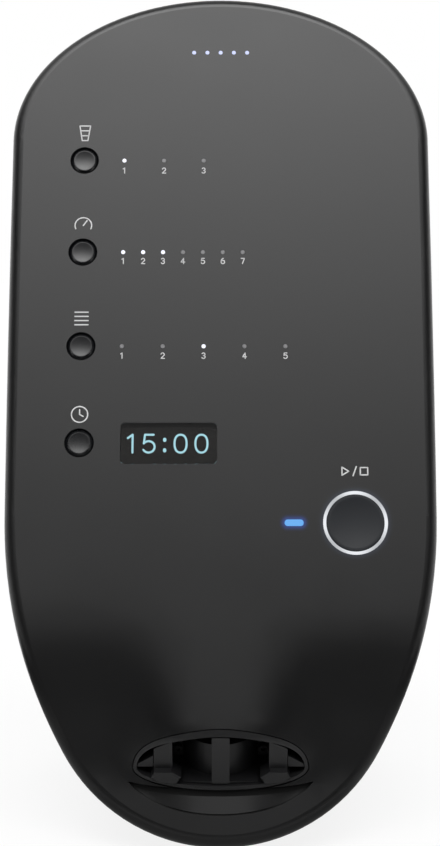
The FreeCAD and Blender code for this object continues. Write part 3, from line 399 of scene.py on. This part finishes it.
def gather(strokes):
    """Many (points, faces) pairs as one pair."""
    points, faces, start = [], [], 0
    for p, f in strokes:
        points.append(p)
        faces.append(f + start)
        start += len(p)
    return np.vstack(points), np.vstack(faces)


def piece(name, points, faces, material, body="housing"):
    """A mesh object at the origin from world points and faces, riding on a body."""
    mesh = bpy.data.meshes.new(name)
    mesh.from_pydata(points.tolist(), [], faces.tolist())
    mesh.materials.append(material)
    mesh.update()
    made = bpy.data.objects.new(name, mesh)
    bpy.context.scene.collection.objects.link(made)
    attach(made, body)
    print(name, len(points), "points", len(faces), "faces")


print("each stroke closes in", len(CAP_ANGLES), "steps at either end")

# %% [markdown]
# ## Figures
# The figures are drawn from straight runs and arcs in a box one unit high, so the same
# drawing serves the tall lit digits of the clock and the small printed ones. Each run is
# a centre line with a flag that says whether it closes on itself.

# %% Centre lines of the figures
def arc(cx, cy, rx, ry, start, end, count=20):
    """Points (cx + rx*cos a, cy + ry*sin a) for a from start to end degrees."""
    a = np.radians(np.linspace(start, end, count))
    return np.column_stack([cx + rx * np.cos(a), cy + ry * np.sin(a)])


def oval(cx, cy, rx, ry, count=36):
    """A closed ellipse, slightly squared: |x|^2.3 + |y|^2.3 = 1."""
    a = np.linspace(0, 2 * np.pi, count, endpoint=False)
    c, s = np.cos(a), np.sin(a)
    return np.column_stack([cx + rx * np.sign(c) * abs(c) ** 0.87,
                            cy + ry * np.sign(s) * abs(s) ** 0.87])


def run(*points):
    """An open centre line through the points."""
    return np.asarray(points, float), False


def ring(points):
    """A centre line that closes on itself."""
    return points, True


FIGURES = {
    "0": [ring(oval(0, 0, 0.33, 0.5))],
    "1": [run((-0.20, 0.31), (0.06, 0.5)), run((0.06, 0.5), (0.06, -0.5))],
    "2": [run(*arc(0, 0.2, 0.29, 0.3, 165, -20), (-0.30, -0.5)),
          run((-0.30, -0.5), (0.31, -0.5))],
    "3": [run(*arc(-0.02, 0.25, 0.26, 0.25, 150, -90)),
          run(*arc(-0.02, -0.24, 0.30, 0.26, 90, -155))],
    "4": [run((0.12, -0.5), (0.12, 0.5)), run((0.12, 0.5), (-0.33, -0.2)),
          run((-0.33, -0.2), (0.33, -0.2))],
    "5": [run((0.26, 0.5), (-0.21, 0.5)), run((-0.21, 0.5), (-0.27, 0.02)),
          run(*arc(-0.01, -0.18, 0.33, 0.32, 143, -148, 28))],
    "6": [ring(oval(0, -0.19, 0.31, 0.31)), run(*arc(0.17, -0.14, 0.48, 0.64, 175, 97))],
    "7": [run((-0.30, 0.5), (0.30, 0.5)), run((0.30, 0.5), (-0.08, -0.5))],
}


def drawn(paths, place, size, width, low, high):
    """A stroke along path*size + place for each of the centre lines."""
    return [stroke(np.asarray(path) * size + place, width, low, high, closed)
            for path, closed in paths]


print("figures", ", ".join(FIGURES))

# %% [markdown]
# ## Clock digits
# Behind the smoked window sits a display whose digits glow pale cyan. They lie on the
# display's own face, four millimetres down, so they are real depth and not paint on the
# glass. Seen a little from below, and bent by the window, things that deep appear lower
# than they are, so the digits stand slightly above the window's middle.

# %% Display digits
CLOCK_V, CLOCK_HIGH, CLOCK_STROKE = 106.3, 4.95, 0.54
CLOCK_LOW, CLOCK_UP = -4.02, -3.92
CLOCK = [("1", -24.15), ("5", -19.45), ("0", -10.85), ("0", -5.20)]
COLON_X, COLON_V, COLON_HALF, COLON_WIDTH = -15.15, (-1.85, 1.05), 0.12, 0.9
CYAN, CYAN_DULL, CYAN_STRENGTH = (0.31, 0.59, 0.69), (0.02, 0.03, 0.03), 2.0

cyan_digits, _, bsdf = lamp("cyan_digits", CYAN, CYAN_DULL)
bsdf.inputs["Emission Strength"].default_value = CYAN_STRENGTH
strokes = []
for char, x in CLOCK:
    strokes += drawn(FIGURES[char], (x, CLOCK_V), CLOCK_HIGH, CLOCK_STROKE, CLOCK_LOW, CLOCK_UP)
for dv in COLON_V:
    dot = [run((0, dv - COLON_HALF), (0, dv + COLON_HALF))]
    strokes += drawn(dot, (COLON_X, CLOCK_V), 1.0, COLON_WIDTH, CLOCK_LOW, CLOCK_UP)
points, faces = gather(strokes)
piece("display_digits", on_face(points), faces, cyan_digits)

# %% [markdown]
# ## Window
# The window is smoked clear plastic. A see-through shader could be faked with mixed
# transparency, but real transmission bends the view of the display behind it as the
# plastic does. Its anti-glare finish takes about a third off the mirrored light, and a
# refractive index a little below that of plain plastic stands for that.

# %% Smoked window
WINDOW_INDEX, WINDOW_ROUGH = 1.37, 0.03
SMOKE, SMOKE_CELLS, SMOKE_DRIFT = (0.62, 0.60, 0.58), 60.0, 0.04
window, tree, bsdf = shader("smoked_window")
bsdf.inputs["Transmission Weight"].default_value = 1.0
bsdf.inputs["IOR"].default_value = WINDOW_INDEX
bsdf.inputs["Roughness"].default_value = WINDOW_ROUGH
tree.links.new(tint(tree, noise(tree, SMOKE_CELLS), SMOKE, SMOKE_DRIFT),
               bsdf.inputs["Base Color"])
dress(window, "display_window")

# %% [markdown]
# ## Light ring
# The ring is a clear tube lit from behind by four lamps, so it is brightest in front of
# each. Four real lights would need many samples, so the glow simply follows the angle
# round the button: its level goes from RING_LOW to RING_HIGH as cos(4*angle) goes from
# -1 to 1, in the plane of the face. A Mapping node turns Object coordinates flat first.

# %% Light ring
START = (35.9, 84.0)
RING_LOW, RING_HIGH = 0.46, 0.83
RING_LIT, RING_DULL = (0.93, 0.96, 1.0), (0.05, 0.05, 0.055)


def face_axes(tree, x, v):
    """The sockets across and up the face, in metres from the place (x, v)."""
    place = tree.nodes.new("ShaderNodeTexCoord")
    shift = add_node(tree, "ShaderNodeVectorMath", operation="SUBTRACT")
    shift.inputs[1].default_value = on_face([(x, v, 0)])[0]
    turn = tree.nodes.new("ShaderNodeMapping")
    turn.inputs["Rotation"].default_value = (LEAN - math.pi / 2, 0.0, 0.0)
    parts = tree.nodes.new("ShaderNodeSeparateXYZ")
    tree.links.new(place.outputs["Object"], shift.inputs[0])
    tree.links.new(shift.outputs[0], turn.inputs["Vector"])
    tree.links.new(turn.outputs["Vector"], parts.inputs[0])
    return parts.outputs["X"], parts.outputs["Y"]


ring_light, tree, bsdf = lamp("ring_light", RING_LIT, RING_DULL)
across, up = face_axes(tree, *START)
four_turns = calc(tree, "MULTIPLY", calc(tree, "ARCTAN2", up, across), 4.0)
level = remap(tree, calc(tree, "COSINE", four_turns), -1.0, 1.0, RING_LOW, RING_HIGH)
tree.links.new(scaled(tree, RING_LIT, level), bsdf.inputs["Emission Color"])
dress(ring_light, "start_light_ring")

# %% [markdown]
# ## Light that bleeds into the panel
# Lamps this bright light up the plastic right beside them. Subsurface scattering does
# that by itself but is slow and noisy on a part this dark, so the satin face gets a faint
# glow of its own that dies off within a millimetre or so of the blue bar and of the ring.
# With d the distance to the lamp's edge, the glow is colour * exp(-(d / reach)^2).

# %% Glow beside the lamps
BAR, BAR_STRAIGHT, BAR_HALF = (19.55, 84.0), 1.65, 0.85
RING_MIDDLE, RING_HALF = 8.2, 0.4
BAR_REACH, BAR_GLOW = 0.80, (0.012, 0.035, 0.18)
RING_REACH, RING_GLOW = 0.9, (0.012, 0.016, 0.026)


def length(tree, a, b):
    """sqrt(a^2 + b^2)"""
    return calc(tree, "SQRT", calc(tree, "ADD", calc(tree, "MULTIPLY", a, a),
                                   calc(tree, "MULTIPLY", b, b)))


def beside(tree, distance, edge, reach, colour):
    """colour * exp(-((distance - edge) / reach)^2)"""
    past = calc(tree, "DIVIDE", calc(tree, "SUBTRACT", distance, edge * MM), reach * MM)
    squared = calc(tree, "MULTIPLY", past, past)
    return scaled(tree, colour, calc(tree, "EXPONENT", calc(tree, "MULTIPLY", squared, -1.0)))


tree = satin.node_tree
across, up = face_axes(tree, *BAR)
past_end = calc(tree, "SUBTRACT", calc(tree, "ABSOLUTE", across), BAR_STRAIGHT * MM)
off_bar = length(tree, calc(tree, "MAXIMUM", past_end, 0.0), up)
off_ring = calc(tree, "SUBTRACT", length(tree, *face_axes(tree, *START)), RING_MIDDLE * MM)
both = add_node(tree, "ShaderNodeVectorMath", operation="ADD")
feed(tree, both.inputs, (beside(tree, off_bar, BAR_HALF, BAR_REACH, BAR_GLOW),
                         beside(tree, calc(tree, "ABSOLUTE", off_ring), RING_HALF,
                                RING_REACH, RING_GLOW)))
bsdf = tree.nodes["Principled BSDF"]
tree.links.new(both.outputs[0], bsdf.inputs["Emission Color"])
bsdf.inputs["Emission Strength"].default_value = 1.0
print("glow beside", BAR, "and", START)

# %% [markdown]
# ## Printed marks
# The figures under the dots and the signs by the buttons are pad printed, a few
# hundredths of a millimetre of pale ink. Plain figures name the steps of each row.
# Above each button stands a plain sign for what it sets: a sleeve, a gauge, a stack of
# zones and a clock, and a triangle and a square for start and stop. Thin strokes that
# stand on the face need no image and stay sharp from any distance.

# %% Printed marks
INK_LOW, INK_HIGH = -0.02, 0.025
FIGURE_HIGH, FIGURE_STROKE, SIGN_STROKE = 1.55, 0.27, 0.34
SIGN_X = -38.1
ink = moulded("pale_ink", (0.56, 0.56, 0.565), 0.6, grain=6000.0, relief=0.003, drift=0.06,
              specular=0.3)
strokes = []
for count, pitch, *_, v, drop in ROWS.values():
    for i in range(count):
        strokes += drawn(FIGURES[str(i + 1)], (DOT_START + i * pitch, v - drop), FIGURE_HIGH,
                         FIGURE_STROKE, INK_LOW, INK_HIGH)
points, faces = gather(strokes)
piece("row_figures", on_face(points), faces, ink)

# sign: place on the face, centre lines
SIGNS = {
    "sleeve": ((SIGN_X, 195.3), [run((-1.5, 2.2), (1.5, 2.2)), run((-1.5, 2.2), (-0.8, -2.2)),
                                 run((1.5, 2.2), (0.8, -2.2)), run((-0.8, -2.2), (0.8, -2.2)),
                                 run((-1.27, 0.75), (1.27, 0.75)),
                                 run((-1.03, -0.75), (1.03, -0.75))]),
    "gauge": ((SIGN_X, 168.3), [run(*arc(0, -0.5, 2.3, 2.3, 205, -25, 28)),
                                run((0, -0.5), (1.0, 0.9))]),
    "zones": ((SIGN_X, 140.8), [run((-1.8, h), (1.8, h)) for h in (-1.8, -0.6, 0.6, 1.8)]),
    "clock": ((SIGN_X, 113.7), [ring(arc(0, 0, 2.2, 2.2, 0, 350, 36)), run((0, 1.3), (0, 0)),
                                run((0, 0), (0.95, -0.55))]),
    "start, stop": ((START[0], 98.0), [run((-3.4, 1.1), (-3.4, -1.1)),
                                       run((-3.4, -1.1), (-1.6, 0)),
                                       run((-1.6, 0), (-3.4, 1.1)),
                                       run((-0.45, -1.25), (0.45, 1.25)),
                                       run((1.5, 1.0), (3.5, 1.0)), run((3.5, 1.0), (3.5, -1.0)),
                                       run((3.5, -1.0), (1.5, -1.0)),
                                       run((1.5, -1.0), (1.5, 1.0))]),
}
strokes = []
for place, paths in SIGNS.values():
    strokes += drawn(paths, place, 1.0, SIGN_STROKE, INK_LOW, INK_HIGH)
points, faces = gather(strokes)
piece("button_signs", on_face(points), faces, ink)

# %% [markdown]
# ## Rocker marks
# The rocker at the back carries the usual line for on and ring for off. One flat of the
# cap lies square to the back while the other slopes out by twice the rocker's tilt, so
# each mark is laid on its own plane: ridge + s*across + t*Z + n*out. The marks ride on
# the rocker, so they turn with it.

# %% Rocker marks
ROCKER_TILT, ROCKER_RIDGE, MARK_OUT = math.radians(8.0), 3.6, 4.6
ROCKER_PIVOT = np.array([-14.0, 42.0, 28.0])
MARK_STROKE, MARK_LOW, MARK_HIGH = 0.45, -0.02, 0.03
MARK_HALF, OVAL_HALF = 1.5, 1.35     # up the rocker, and across it for the off mark


def on_flat(points, slope, reach):
    """Rows of (s, t, n) in millimetres, on a flat that slopes out and with their middle
    reach past the rocker's ridge, to world metres: ridge + (reach - s)*along + t*Z + n*out."""
    ridge = ROCKER_PIVOT + ROCKER_RIDGE * np.array([-math.sin(ROCKER_TILT),
                                                    math.cos(ROCKER_TILT), 0.0])
    along = np.array([math.cos(slope), math.sin(slope), 0.0])
    out = np.array([-math.sin(slope), math.cos(slope), 0.0])
    p = np.asarray(points, float)
    upright = p[:, 1:2] * np.array([0.0, 0.0, 1.0])
    return (ridge + (reach - p[:, :1]) * along + upright + p[:, 2:3] * out) * MM


on_mark, on_faces = stroke([(0, -MARK_HALF), (0, MARK_HALF)], MARK_STROKE, MARK_LOW,
                           MARK_HIGH)
off_mark, off_faces = stroke(oval(0, 0, OVAL_HALF, MARK_HALF), MARK_STROKE, MARK_LOW,
                             MARK_HIGH, closed=True)
points, faces = gather([(on_flat(on_mark, 0.0, -MARK_OUT), on_faces),
                        (on_flat(off_mark, 2 * ROCKER_TILT, MARK_OUT), off_faces)])
piece("rocker_marks", points, faces, ink, "power_rocker")

# %% [markdown]
# ## Studio
# A black satin face shows almost nothing but the room, so the room is built with care.
# High in front hangs one large soft light, whose lower edge fades over the face from top
# to chin. Down at table height the light is narrow, so surfaces that turn a little aside
# go dark at once. Low at either side stands a weak strip, which draws the soft line along
# the rim, and behind the pump the room is white, for the pale outermost edge. Area lights
# could do this, but each would need a shape and a falloff of its own. Here all of it is
# the world: for each light one curve over the height of a direction, times one over its
# turn to the side. Camera rays see plain white.

# %% World
LIGHT_PEAK, BACK_LEVEL, LOW_LEVEL = 10.2, 1.0, 0.52
BY_HEIGHT = ((-90, 0.006), (5, 0.006), (12, 0.010), (20, 0.018), (24, 0.041), (28, 0.045),
             (31.5, 0.050), (34.7, 0.069), (37.7, 0.106), (40.6, 0.193), (44.5, 0.34), (47, 0.48),
             (52, 0.61), (57, 0.67), (61, 0.85), (65, 1.0), (71, 0.66), (76, 0.14), (81, 0.01))
BY_SIDE = ((0, 1.0), (20, 1.0), (35, 0.6), (47, 0.4), (60, 0.27), (72, 0.2), (85, 0.15),
           (110, 0.08))
NARROW, NARROW_BELOW, WIDE_ABOVE = 0.5, math.radians(24), math.radians(41)
BACK_BY_SIDE = ((0, 0.0), (88, 0.0), (125, 1.0))
BACK_BY_HEIGHT = ((-90, 1.0), (30, 1.0), (60, 0.03))
LOW_BY_SIDE = ((0, 0.0), (45, 0.0), (80, 1.0))
LOW_BY_HEIGHT = ((-90, 1.0), (12, 1.0), (26, 0.0))


def curve(tree, angle, points, low, high):
    """Straight lines through (degrees, level) points, over an angle in radians that runs
    from low to high degrees."""
    place = remap(tree, angle, math.radians(low), math.radians(high), 0.0, 1.0)
    ramp = tree.nodes.new("ShaderNodeValToRGB")
    elements = ramp.color_ramp.elements
    for i, (degrees, level) in enumerate(points):
        position = (degrees - low) / (high - low)
        element = elements[i] if i < 2 else elements.new(position)
        element.position = position
        element.color = (level, level, level, 1.0)
    tree.links.new(place, ramp.inputs["Fac"])
    return ramp.outputs["Color"]


def light(tree, level, height, by_height, side, by_side):
    """level * by_height(height) * by_side(side)"""
    shape = calc(tree, "MULTIPLY", curve(tree, height, by_height, -90, 90),
                 curve(tree, side, by_side, 0, 180))
    return calc(tree, "MULTIPLY", shape, level)


world = bpy.data.worlds.new("studio_room")
bpy.context.scene.world = world
world.use_nodes = True
tree = world.node_tree
way = axes(tree, "Generated")
height = calc(tree, "ARCSINE", way["Z"])
to_front = calc(tree, "MULTIPLY", way["Y"], -1.0)
side = calc(tree, "ABSOLUTE", calc(tree, "ARCTAN2", way["X"], to_front))
width = remap(tree, height, NARROW_BELOW, WIDE_ABOVE, NARROW, 1.0, "SMOOTHSTEP")
key_light = light(tree, LIGHT_PEAK, height, BY_HEIGHT, calc(tree, "DIVIDE", side, width),
                  BY_SIDE)
back_light = light(tree, BACK_LEVEL, height, BACK_BY_HEIGHT, side, BACK_BY_SIDE)
low_light = light(tree, LOW_LEVEL, height, LOW_BY_HEIGHT, side, LOW_BY_SIDE)
room = calc(tree, "ADD", calc(tree, "ADD", key_light, back_light), low_light)
rays = tree.nodes.new("ShaderNodeLightPath").outputs
background = tree.nodes["Background"]
background.inputs["Color"].default_value = (1.0, 1.0, 1.0, 1.0)
tree.links.new(share_of(tree, rays["Is Camera Ray"], room, 1.0), background.inputs["Strength"])
print("world", world.name, "with three lights")

# %% [markdown]
# ## Floor
# The floor is plain and pale and takes the pump's own soft shadow. To meet the white
# background without a line, most of what the eye sees of it is its own even white, and
# the rest is lit, which is the part that the shadow darkens. A shadow catcher would give
# a clean picture too, but the floor would be gone from reflections.

# %% Floor
FLOOR_SIZE, FLOOR_LIT = 6.0, 0.14      # metres to either side; the part that is lit
FLOOR_PALE, FLOOR_CELLS, FLOOR_DRIFT = (0.85, 0.85, 0.85), 4.0, 0.01
FLOOR_ROUGH, FLOOR_SPECULAR = 0.9, 0.1


def floor_material():
    """Pale, lit in part and self-white in part for rays that look at it."""
    material, tree, bsdf = shader("pale_floor")
    bsdf.inputs["Roughness"].default_value = FLOOR_ROUGH
    bsdf.inputs["Specular IOR Level"].default_value = FLOOR_SPECULAR
    tree.links.new(tint(tree, noise(tree, FLOOR_CELLS), FLOOR_PALE, FLOOR_DRIFT),
                   bsdf.inputs["Base Color"])
    white = add_node(tree, "ShaderNodeEmission", Strength=1.0)
    rays = tree.nodes.new("ShaderNodeLightPath").outputs
    looks = calc(tree, "MAXIMUM", rays["Is Camera Ray"], rays["Is Transmission Ray"])
    mixed = tree.nodes.new("ShaderNodeMixShader")
    feed(tree, mixed.inputs, (calc(tree, "MULTIPLY", looks, 1.0 - FLOOR_LIT),
                              bsdf.outputs[0], white.outputs[0]))
    tree.links.new(mixed.outputs[0], tree.nodes["Material Output"].inputs["Surface"])
    return material


def plane(name, x0, x1, y0, y1, z, material):
    """A flat rectangle, facing up."""
    mesh = bpy.data.meshes.new(name)
    mesh.from_pydata([(x0, y0, z), (x1, y0, z), (x1, y1, z), (x0, y1, z)], [], [(0, 1, 2, 3)])
    mesh.materials.append(material)
    made = bpy.data.objects.new(name, mesh)
    bpy.context.scene.collection.objects.link(made)
    print(name, x1 - x0, "by", y1 - y0)
    return made


plane("floor", -FLOOR_SIZE, FLOOR_SIZE, -FLOOR_SIZE, FLOOR_SIZE, 0.0, floor_material())

# %% [markdown]
# ## Grey card
# A card lies under and in front of the pump, dark beneath it, grey before it and black
# farther out. A dark glossy product mirrors the table along its lower edge and in the
# roof of its port, and the card keeps that reflection quiet where the bare table would
# shine. It exists for reflections only: it casts no shadow and the eye never sees it.
# The grey fades as level * exp(-(x / width)^2 - (y / depth)^4). The level is CARD_LEVEL
# in front. From the chin back it is CARD_UNDER in the middle and CARD_ASIDE beside.

# %% Grey card
CARD_LEVEL, CARD_WIDTH, CARD_DEPTH = 1.0, 0.095, 0.16
CARD_UNDER, CARD_ASIDE = 0.34, 0.95
CARD_INNER, CARD_OUTER = 0.045, 0.070         # where the middle ends and the sides begin
CARD_AHEAD, CARD_CHIN = -0.105, -0.060        # where the front ends and the chin begins
CARD_BOX = (-0.4, 0.4, -0.9, 0.03, 0.0005)    # x, x, y, y and height
CARD_BASE, CARD_CELLS, CARD_DRIFT = (0.01, 0.01, 0.01), 20.0, 0.1
card_material, tree, bsdf = shader("grey_card")
tree.links.new(tint(tree, noise(tree, CARD_CELLS), CARD_BASE, CARD_DRIFT),
               bsdf.inputs["Base Color"])
bsdf.inputs["Specular IOR Level"].default_value = 0.0
bsdf.inputs["Emission Color"].default_value = (1.0, 1.0, 1.0, 1.0)
place = axes(tree)
across = calc(tree, "POWER", calc(tree, "DIVIDE", place["X"], CARD_WIDTH), 2.0)
ahead = calc(tree, "POWER", calc(tree, "DIVIDE", place["Y"], CARD_DEPTH), 4.0)
fade = calc(tree, "EXPONENT", calc(tree, "MULTIPLY", calc(tree, "ADD", across, ahead), -1.0))
under = remap(tree, calc(tree, "ABSOLUTE", place["X"]), CARD_INNER, CARD_OUTER, CARD_UNDER,
              CARD_ASIDE, "SMOOTHSTEP")
level = remap(tree, place["Y"], CARD_AHEAD, CARD_CHIN, CARD_LEVEL, under, "SMOOTHSTEP")
tree.links.new(calc(tree, "MULTIPLY", fade, level), bsdf.inputs["Emission Strength"])
card = plane("grey_card", *CARD_BOX, card_material)
card.visible_camera = card.visible_diffuse = card.visible_shadow = False

# %% [markdown]
# ## Finish
# The view transform stays Standard, so colours come out as they are written.

# %% Finish
bpy.context.scene.view_settings.view_transform = "Standard"
